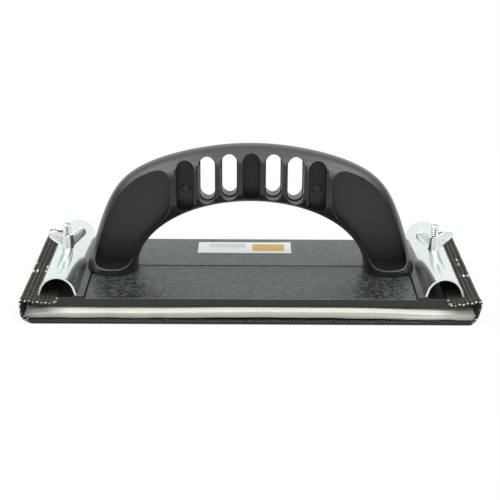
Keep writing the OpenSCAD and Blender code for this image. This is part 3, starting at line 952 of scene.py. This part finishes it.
# Abrasive mesh: glass-fibre strands woven and coated with grit, one sheet drawn under the foam,
# up round both ends and under the clamps. Grit has come off at the cut ends and in a few places.
MESH_T = 0.001
STRAND_SIDES = 6
WARP_PITCH = 0.00195
WARP_W = 0.00115
WARP_T = 0.00075
WARP_H = 0.00005
WEFT_W = 0.0009
WEFT_T = 0.0007
WEFT_H = -0.00006
WEAVE_WAVE = 0.00013
LOWER_R = 0.0035
FOLD_R = 0.00075
FLAP_X = {-1: 0.0922, 1: 0.0937}
BOLT_CLEAR = 0.0027
EDGE_STRAND = 0.0005
END_BULGE = {-1: 0.0008, 1: 0.0006}
LOWER_TUCK = {-1: 0.0004, 1: 0.0017}
TUCK_RUN = 0.006
mesh_low, mesh_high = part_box("abrasive_mesh")
sheet_w = mesh_high.y - mesh_low.y
lower_arc = LOWER_R * math.pi / 2
fold_z = ledge_z - MESH_T / 2 - FOLD_R
end_run = fold_z - LOWER_R - MESH_T / 2
fold_arc = FOLD_R * math.pi / 2
end_x = {side: mesh_high.x - MESH_T / 2 + END_BULGE[side] for side in (-1, 1)}
bottom_run = {side: end_x[side] - LOWER_R for side in (-1, 1)}
fold_run = {side: bottom_run[side] + lower_arc + end_run for side in (-1, 1)}
half_run = {side: fold_run[side] + fold_arc + end_x[side] - FOLD_R - FLAP_X[side] for side in (-1, 1)}
sheet_l = half_run[-1] + half_run[1]
warp_n = round(sheet_l / WARP_PITCH)
weft_n = round(sheet_w / WARP_PITCH)
warp_pitch = sheet_l / warp_n
weft_pitch = (sheet_w - 2 * EDGE_STRAND) / (weft_n - 1)


def folded(along, proud):
    """Point in X and Z of the folded sheet, by its distance from the middle and from the mid-surface."""
    side = 1 if along > 0 else -1
    left = abs(along) - bottom_run[side]
    if left < 0:
        return along, MESH_T / 2 - proud
    if left < lower_arc:
        turn = left / LOWER_R
        reach = LOWER_R + proud
        x = bottom_run[side] + reach * math.sin(turn)
        return side * x, MESH_T / 2 + LOWER_R - reach * math.cos(turn)
    left -= lower_arc
    if left < end_run:
        return side * (end_x[side] + proud), MESH_T / 2 + LOWER_R + left
    left -= end_run
    if left < fold_arc:
        turn = left / FOLD_R
        reach = FOLD_R + proud
        return side * (end_x[side] - FOLD_R + reach * math.cos(turn)), fold_z + reach * math.sin(turn)
    left -= fold_arc
    return side * (end_x[side] - FOLD_R - left), fold_z + FOLD_R + proud


# Lift of the fold beside the clamp. Past the clamp's ends, each flap tilts about a line, by a
# slope outside it and another inside it.
FOLD_LIFT = 0.0009
FOLD_LIFT_X = (0.102, 0.1075)
FLAP_TILT = {-1: (0.0985, 0.0010 / 0.0105, 0), 1: (0.1005, 0.0017 / 0.0083, 0.0006 / 0.0075)}
FREE_Y = (0.043, 0.0505)
RIPPLE = 0.00025
RIPPLE_X = (0.103, 0.107)
RIPPLE_PATTERN = (60, 90, 3.1)


def flap_lift(x, y):
    """How far the springy mesh stands off its land: up at the fold, and tilted where it is free."""
    out = abs(x)
    pressed = FOLD_LIFT * ease(out, *FOLD_LIFT_X)
    line, outer_slope, inner_slope = FLAP_TILT[1 if x > 0 else -1]
    loose = (out - line) * (outer_slope if out > line else inner_slope)
    free = ease(abs(y), *FREE_Y)
    ripple = RIPPLE * waver(x, y, RIPPLE_PATTERN)
    return pressed + (loose - pressed) * free + ripple * (free + ease(out, *RIPPLE_X))


def laid(along, y, proud):
    """Place of a point of the flat sheet on the sander."""
    x, z = folded(along, proud)
    side = 1 if along > 0 else -1
    out = abs(along)
    corner = bottom_run[side] + lower_arc / 2
    tuck = ease(out, bottom_run[side] - TUCK_RUN, corner) - ease(out, corner, fold_run[side])
    x -= side * LOWER_TUCK[side] * tuck
    share = ease(out, bottom_run[side] + lower_arc, fold_run[side])
    if share > 0:
        z += share * flap_lift(x, y)
        away = Vector((x - math.copysign(BOLT_X, x), y))
        if away.length < BOLT_CLEAR:
            away = away.normalized() * BOLT_CLEAR
            x, y = math.copysign(BOLT_X, x) + away.x, away.y
    return Vector((x, y, z))


def mark(piece, name, shares):
    """Stores a share from 0 to 1 at each vertex of a piece."""
    marked = piece.data.attributes.new(name, "FLOAT", "POINT")
    for item, share in zip(marked.data, shares):
        item.value = share


WORN_SPOTS = (
    (-0.1089, -0.0120), (-0.1070, -0.0120), (-0.1024, -0.0105), (-0.1026, -0.0045), (-0.1091, 0.0002),
    (0.1055, 0.0008), (0.1056, -0.0153), (0.1074, -0.0162), (0.1092, -0.0092), (0.1094, -0.0161),
    (0.1056, 0.0076))
WORN_W = 0.0010
WORN_L = 0.0022


def worn(spot):
    """How far grit is rubbed off the top of a flap."""
    if spot.z < land_z:
        return 0
    away = [((spot.x - x) / WORN_W) ** 2 + ((spot.y - y) / WORN_L) ** 2 for x, y in WORN_SPOTS]
    return math.exp(-min(away))


def weave_strands(stations, width, thick, count, pitch, lay):
    """A row of strands: one is modelled flat and repeated, and a function lays each vertex."""
    strand, skin = add_tube(STRAND_SIDES, len(stations))
    for vertex, ring, turn in skin:
        vertex.co = (math.cos(turn) * width / 2, stations[ring], math.sin(turn) * thick / 2)
    face_outwards(strand)
    apply_modifier(strand, "ARRAY", count=count, use_relative_offset=False, use_constant_offset=True,
                   constant_offset_displace=(pitch, 0, 0))
    shares = []
    for vertex in strand.data.vertices:
        vertex.co, share = lay(round(vertex.co.x / pitch), vertex.co.x, vertex.co.y, vertex.co.z)
        shares.append(share)
    mark(strand, "bare_fibre", shares)
    face_outwards(strand)
    return strand


WARP_DRIFT = 0.00012
WARP_PATTERN = (1.7, 40, 0.5)
WEFT_DRIFT = 0.0001
WEFT_PATTERN = (2.3, 30, 4.5)
CUT_UNEVEN = 0.0002
CUT_PATTERN = (3.3, 10, 8.2)
AT_EDGE = 0.0001
BARE_NEAR_EDGE = 0.25
BARE_RISE = 0.003
BARE_ON_END = 0.62
BARE_ON_END_X = (0.1035, 0.1065)
TAIL_L = 0.0006
TAIL_Y = (0.0425, 0.0475)
WORN_WEFT = 0.4
ARC_STEPS = 3


def lay_warp(index, across, y, proud):
    """A strand from front to back, with its ends cut a little unevenly."""
    along = (index + 0.5) * warp_pitch - half_run[-1] + across - index * warp_pitch
    along += WARP_DRIFT * waver(index, y, WARP_PATTERN)
    at_end = abs(y) > sheet_w / 2 - AT_EDGE
    near_end = abs(y) > sheet_w / 2 - EDGE_STRAND - AT_EDGE
    if at_end:
        y -= math.copysign(CUT_UNEVEN * (0.5 + waver(index, y, CUT_PATTERN)), y)
    wave = WEAVE_WAVE * math.cos(math.pi * ((y + sheet_w / 2 - EDGE_STRAND) / weft_pitch + index))
    spot = laid(along, y, WARP_H + wave + proud)
    # Pale cut fibre shows on the raised flaps and upright ends only; along the bottom run it is left off,
    # a painted shade.
    upright = BARE_ON_END * ease(abs(spot.x), *BARE_ON_END_X)
    raised = max(ease(spot.z, land_z - BARE_RISE, land_z), upright)
    bare = (1.0 if at_end else BARE_NEAR_EDGE if near_end else 0) * raised
    return spot, max(bare, worn(spot))


def lay_weft(index, across, along, proud):
    """A strand along the sander and up round both ends."""
    y = index * weft_pitch + EDGE_STRAND - sheet_w / 2 + across - index * weft_pitch
    y += WEFT_DRIFT * waver(index, along, WEFT_PATTERN)
    wave = -WEAVE_WAVE * math.cos(math.pi * ((along + half_run[-1]) / warp_pitch - 0.5 + index))
    spot = laid(along, y, WEFT_H + wave + proud)
    half = half_run[1 if along > 0 else -1]
    # Bare tails show only near the front and back; along the inner edge, in the clamp's shade, they keep
    # the grit colour: painted shade.
    tail = ease(abs(along), half - TAIL_L, half) * ease(abs(y), *TAIL_Y) * (index % 2)
    return spot, max(tail, WORN_WEFT * worn(spot))


warp_stations = [k * weft_pitch + EDGE_STRAND - sheet_w / 2 for k in range(weft_n)]
warp_stations = [-sheet_w / 2] + warp_stations + [sheet_w / 2]
weft_stations = [(k + 0.5) * warp_pitch - half_run[-1] for k in range(warp_n)]
weft_stations += [-half_run[-1], half_run[1]]
for side in (-1, 1):
    for k in range(ARC_STEPS + 1):
        weft_stations.append(side * (bottom_run[side] + lower_arc * k / ARC_STEPS))
        weft_stations.append(side * (fold_run[side] + fold_arc * k / ARC_STEPS))
weft_stations.sort()
warp = weave_strands(warp_stations, WARP_W, WARP_T, warp_n, warp_pitch, lay_warp)
weft = weave_strands(weft_stations, WEFT_W, WEFT_T, weft_n, weft_pitch, lay_weft)
select_only(weft, warp)
bpy.ops.object.join()
warp.name = "woven_abrasive"
smooth_faces(warp, angle=70)
GRIT_PAINTED_SHADE = (0.003, 0.0025, 0.002, 1)
GRIT_DARK = (0.012, 0.010, 0.008, 1)
GRIT_BROWN = (0.044, 0.034, 0.026, 1)
GRIT_GLINT = (0.16, 0.145, 0.125, 1)
FIBRE = (0.78, 0.77, 0.72, 1)
GRIT_ROUGH = (0.75, 0.35)
BROWN_SHARE = (0.5, 1.0)
UNDER_FOAM_Y = (0.0507, 0.0495)
UNDER_FOAM_Z = (0.003, 0.002)
UNDER_FOAM_UP = (-0.3, 0.1)
grit, tree, shader = new_material("grit_on_glass_fibre", Specular_IOR_Level=0.45)
clumps = add_effect(tree, mottle, Scale=1400.0)
bands = add_effect(tree, mottle, Scale=90.0, Low=0.35, High=0.65)
glints = add_effect(tree, specks, Scale=3200.0, Size=0.35, Share=0.16)
bare = add_node(tree, "Attribute")
bare.attribute_name = "bare_fibre"
frayed = add_node(tree, "TexNoise", Vector=object_place(tree), Scale=1100.0, Detail=3.0)
shown = add_math(tree, "GREATER_THAN", total(tree, bare.outputs["Fac"], frayed.outputs[0]), 1.0)
brown = product(tree, clumps, add_range(tree, bands, 0, 1, *BROWN_SHARE))
colour = add_mix(tree, brown, GRIT_DARK, GRIT_BROWN)
colour = tinted(tree, colour, GRIT_GLINT, glints)
place = place_axes(tree)
# Up-facing strands just under the foam's front edge are painted near black: painted shade.
inner = product(tree, add_range(tree, unsigned(tree, place["Y"]), *UNDER_FOAM_Y),
                add_range(tree, place["Z"], *UNDER_FOAM_Z),
                add_range(tree, facing_axes(tree)["Z"], *UNDER_FOAM_UP))
colour = tinted(tree, colour, GRIT_PAINTED_SHADE, inner)
colour = tinted(tree, colour, FIBRE, shown)
rough = add_range(tree, glints, 0, 1, *GRIT_ROUGH)
finish_surface(tree, shader, colour, rough, clumps, strength=0.9, depth=0.00015)
coat(warp, grit)
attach(warp, "sander")
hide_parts("abrasive_mesh")

# Bolts: zinc-plated carriage bolts standing up through the plate. The square neck sits in a
# square hole, so that the bolt can't turn, and the thread is rolled with round crests.
BOLT_R = 0.002
BOLT_NECK = 0.004
NECK_EDGE_R = 0.0003
BOLT_HEAD_R = 0.00475
BOLT_HEAD_H = 0.0021
THREAD_PITCH = 0.001
THREAD_DEPTH = 0.00052
THREAD_Z = 0.0120
THREAD_LEAD = 0.0003
THREAD_FLANK = (0.2, 0.9)
GROOVE_SHADE = (0.35, 0.95)
THREAD_SIDES = 32
THREAD_STEPS = 10
TIP_R = 0.0016
head_z = plate_z + HEAD_HOLE_DEPTH
head_middle = head_z - BOLT_HEAD_H / 2
tip_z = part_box("left_bolt")[1].z
thread_l = tip_z - THREAD_Z
steps = round(thread_l / THREAD_PITCH * THREAD_STEPS)
thread_stations = [head_z, THREAD_Z - THREAD_LEAD]
thread_stations += [THREAD_Z + thread_l * k / steps for k in range(steps + 1)]
bolt, skin = add_tube(THREAD_SIDES, len(thread_stations))
painted_groove_shades = []
for vertex, ring, turn in skin:
    z = thread_stations[ring]
    phase = (z / THREAD_PITCH - turn / math.tau) % 1
    groove = ease(abs(2 * phase - 1), *THREAD_FLANK) * ease(z, THREAD_Z, THREAD_Z + THREAD_PITCH)
    radius = min(BOLT_R - THREAD_DEPTH * groove, TIP_R + (tip_z - z))
    vertex.co = (radius * math.cos(turn), radius * math.sin(turn), z)
    painted_groove_shades.append(ease(groove, *GROOVE_SHADE))
mark(bolt, "painted_thread_shade", painted_groove_shades)
face_outwards(bolt)
neck = add_block((-BOLT_NECK / 2, -BOLT_NECK / 2, head_middle), (BOLT_NECK / 2, BOLT_NECK / 2, land_z))
apply_modifier(neck, "BEVEL", width=NECK_EDGE_R, segments=2, limit_method="ANGLE")
combine(bolt, neck, "UNION")
head = add_drum((0, 0, head_middle), BOLT_HEAD_R, BOLT_HEAD_H)
pick(head, "EDGE", lambda p: max(q.z for q in p) < head_middle)
bpy.ops.mesh.bevel(offset=BOLT_HEAD_H / 2, segments=5, affect="EDGES")
close_edit()
combine(bolt, head, "UNION")
smooth_faces(bolt, angle=35)


def placed_copy(piece, name, place, turn=0.0):
    """A copy of a piece with its own mesh, turned about the upright and put in place."""
    twin = piece.copy()
    twin.data = piece.data.copy()
    twin.name = name
    scene.collection.objects.link(twin)
    twin.location = place
    twin.rotation_euler.z = turn
    select_only(twin)
    return settle()


ZINC_PALE = (0.81, 0.845, 0.845, 1)
ZINC_BLUE = (0.70, 0.755, 0.77, 1)
ZINC_DULL = (0.45, 0.48, 0.48, 1)
ZINC_PAINTED_GROOVE_SHADE = (0.10, 0.11, 0.11, 1)
ZINC_ROUGH = (0.13, 0.24)
zinc, tree, shader = new_material("bright_zinc_plate", Metallic=0.95)
clouds = add_effect(tree, mottle, Scale=260.0)
grain = add_effect(tree, mottle, Scale=2600.0)
spots = add_effect(tree, specks, Scale=700.0, Size=0.25, Share=0.12)
sunk = add_node(tree, "Attribute")
sunk.attribute_name = "painted_thread_shade"
colour = add_mix(tree, clouds, ZINC_PALE, ZINC_BLUE)
colour = tinted(tree, colour, ZINC_DULL, spots, share=0.5)
# The thread's grooves are painted dark: painted shade.
colour = tinted(tree, colour, ZINC_PAINTED_GROOVE_SHADE, sunk.outputs["Fac"], share=0.9)
rough = add_range(tree, clouds, 0, 1, *ZINC_ROUGH)
finish_surface(tree, shader, colour, rough, grain, strength=0.35, depth=0.00004)
coat(bolt, zinc)
for side, name in ((-1, "left"), (1, "right")):
    twin = placed_copy(bolt, name + "_threaded_bolt", (side * BOLT_X, 0, 0))
    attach(twin, "sander")
    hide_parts(name + "_bolt")
bpy.data.objects.remove(bolt)

# Clamps: channels rolled from zinc-plated steel sheet. The outer leg presses on the folded
# mesh and the inner one stands on the ledge of the plate, with a hole for the bolt between.
CLAMP_W = 0.0188
CLAMP_H = 0.009
CLAMP_T = 0.0009
CLAMP_SPLAY = math.radians(18)
CLAMP_HOLE_R = 0.0023
CLAMP_DRILL_L = 0.0054
CLAMP_EDGE_R = 0.00016
CLAMP_STEPS = 72
CLAMP_CUTS = 90
CLAMP_BOW = 0.04
CLAMP_DENT = 0.00001
DENT_PATTERN = (7, 60, 2.7)
CUT_ANGLE = math.radians(50)
clamp_low, clamp_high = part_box("right_clamp")
slope = math.tan(CLAMP_SPLAY)
slant = 1 / math.cos(CLAMP_SPLAY)
arch_r = (CLAMP_W / 2 - CLAMP_H * slope) / (slant - slope)
middle_r = arch_r - CLAMP_T / 2
arc_turn = math.pi / 2 - CLAMP_SPLAY
arc_run = arc_turn * middle_r
clamp_foot = Vector((CLAMP_W / 2 - CLAMP_T / 2 * slant, 0))


def arc_point(turn):
    """Point of the arch's mid-surface, by the turn from its top."""
    return Vector((middle_r * math.sin(turn), CLAMP_H - arch_r + middle_r * math.cos(turn)))


leg_run = (arc_point(arc_turn) - clamp_foot).length


def arch_point(share):
    """Point of the arch's mid-surface, from its inner foot (0) to its outer foot (1)."""
    out = (2 * share - 1) * (arc_run + leg_run)
    if abs(out) < arc_run:
        return arc_point(out / middle_r)
    spot = arc_point(arc_turn).lerp(clamp_foot, (abs(out) - arc_run) / leg_run)
    return Vector((math.copysign(spot.x, out), spot.y))


bpy.ops.mesh.primitive_grid_add(x_subdivisions=CLAMP_STEPS, y_subdivisions=CLAMP_CUTS, size=1)
clamp = bpy.context.active_object
for vertex in clamp.data.vertices:
    spot = arch_point(vertex.co.x + 0.5)
    y = clamp_low.y + (vertex.co.y + 0.5) * (clamp_high.y - clamp_low.y)
    dent = CLAMP_DENT * waver(vertex.co.x, y, DENT_PATTERN)
    bow = 1 + CLAMP_BOW * (y / clamp_high.y) ** 2
    vertex.co = (BOLT_X + spot.x, y, clamp_low.z + spot.y * bow + dent)
apply_modifier(clamp, "SOLIDIFY", thickness=CLAMP_T, offset=0)
face_outwards(clamp)
combine(clamp, add_drum((BOLT_X, 0, clamp_high.z), CLAMP_HOLE_R, CLAMP_DRILL_L), "DIFFERENCE")
apply_modifier(clamp, "BEVEL", width=CLAMP_EDGE_R, segments=2, limit_method="ANGLE",
               angle_limit=CUT_ANGLE)
smooth_faces(clamp, angle=40)
SHEET_PALE = (0.86, 0.88, 0.88, 1)
SHEET_BLUE = (0.79, 0.83, 0.835, 1)
SHEET_DULL = (0.62, 0.65, 0.655, 1)
SHEET_CUT = (0.86, 0.87, 0.87, 1)
SHEET_ROUGH = (0.15, 0.22)
CUT_FACING = (0.9, 0.98)
CUT_ROUGHER = 0.4
SHEET_METAL = 0.93
CUT_METAL = 0.3
rolled, tree, shader = new_material("rolled_zinc_sheet")
cut = add_range(tree, unsigned(tree, facing_axes(tree)["Y"]), *CUT_FACING)
clouds = add_effect(tree, mottle, Scale=170.0)
drawn = add_effect(tree, streaks, X=1500.0, Y=60.0, Z=1500.0)
colour = add_mix(tree, clouds, SHEET_PALE, SHEET_BLUE)
colour = tinted(tree, colour, SHEET_DULL, drawn, share=0.12)
colour = tinted(tree, colour, SHEET_CUT, cut)
rough = total(tree, add_range(tree, clouds, 0, 1, *SHEET_ROUGH), product(tree, cut, CUT_ROUGHER))
join(tree, shader.inputs["Metallic"], add_range(tree, cut, 0, 1, SHEET_METAL, CUT_METAL))
finish_surface(tree, shader, colour, rough, drawn, strength=0.05, depth=0.00002)
coat(clamp, rolled)
for side, name in ((-1, "left"), (1, "right")):
    twin = placed_copy(clamp, name + "_arched_clamp", (0, 0, 0))
    if side < 0:
        for vertex in twin.data.vertices:
            vertex.co.x = -vertex.co.x
        face_outwards(twin)
    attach(twin, name + "_clamp")
    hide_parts(name + "_clamp")
bpy.data.objects.remove(clamp)

# Wing nuts: cast with a tapered hub and two raised ears, then zinc plated like the bolts.
# Each stands on its clamp, turned as it was left when it was tightened.
HUB_H = 0.0069
HUB_FOOT_R = 0.0032
HUB_TOP_R = 0.0026
NUT_BORE_R = 0.00205
WING_SPAN = 0.019
WING_H = 0.0098
WING_TIP_R = 0.0024
WING_TIP_T = 0.00136
WING_ROOT_T = 0.00204
WING_ROOT_DOWN = 0.000575
WING_EDGE_R = 0.0003
NUT_VOXEL = 0.00018
NUT_TURNS = {"left": math.radians(20), "right": math.radians(8)}
nut_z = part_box("left_wing_nut")[0].z
tip_x = WING_SPAN / 2 - WING_TIP_R
bpy.ops.mesh.primitive_cone_add(vertices=48, radius1=HUB_FOOT_R, radius2=HUB_TOP_R, depth=HUB_H,
                                location=(0, 0, HUB_H / 2))
nut = settle()
for side in (-1, 1):
    tip = (side * tip_x, 0, WING_H - WING_TIP_R)
    wing = add_drum(tip, WING_TIP_R, WING_TIP_T, turn=(math.pi / 2, 0, 0))
    reach = sorted((0, side * HUB_TOP_R))
    root = add_block((reach[0], -WING_ROOT_T / 2, WING_ROOT_DOWN),
                     (reach[1], WING_ROOT_T / 2, HUB_H - WING_ROOT_DOWN))
    select_only(root, wing)
    bpy.ops.object.join()
    pick(wing, "VERT", lambda p: True)
    bpy.ops.mesh.convex_hull()
    close_edit()
    apply_modifier(wing, "BEVEL", width=WING_EDGE_R, segments=2, limit_method="ANGLE",
                   angle_limit=CUT_ANGLE)
    combine(nut, wing, "UNION")
apply_modifier(nut, "REMESH", mode="VOXEL", voxel_size=NUT_VOXEL, use_smooth_shade=True)
apply_modifier(nut, "SMOOTH", factor=0.5, iterations=4)
combine(nut, add_drum((0, 0, HUB_H / 2), NUT_BORE_R, 2 * HUB_H), "DIFFERENCE")
smooth_faces(nut, angle=40)
coat(nut, zinc)
for side, name in ((-1, "left"), (1, "right")):
    twin = placed_copy(nut, name + "_eared_nut", (side * BOLT_X, 0, nut_z), NUT_TURNS[name])
    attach(twin, name + "_wing_nut")
    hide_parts(name + "_wing_nut")
bpy.data.objects.remove(nut)
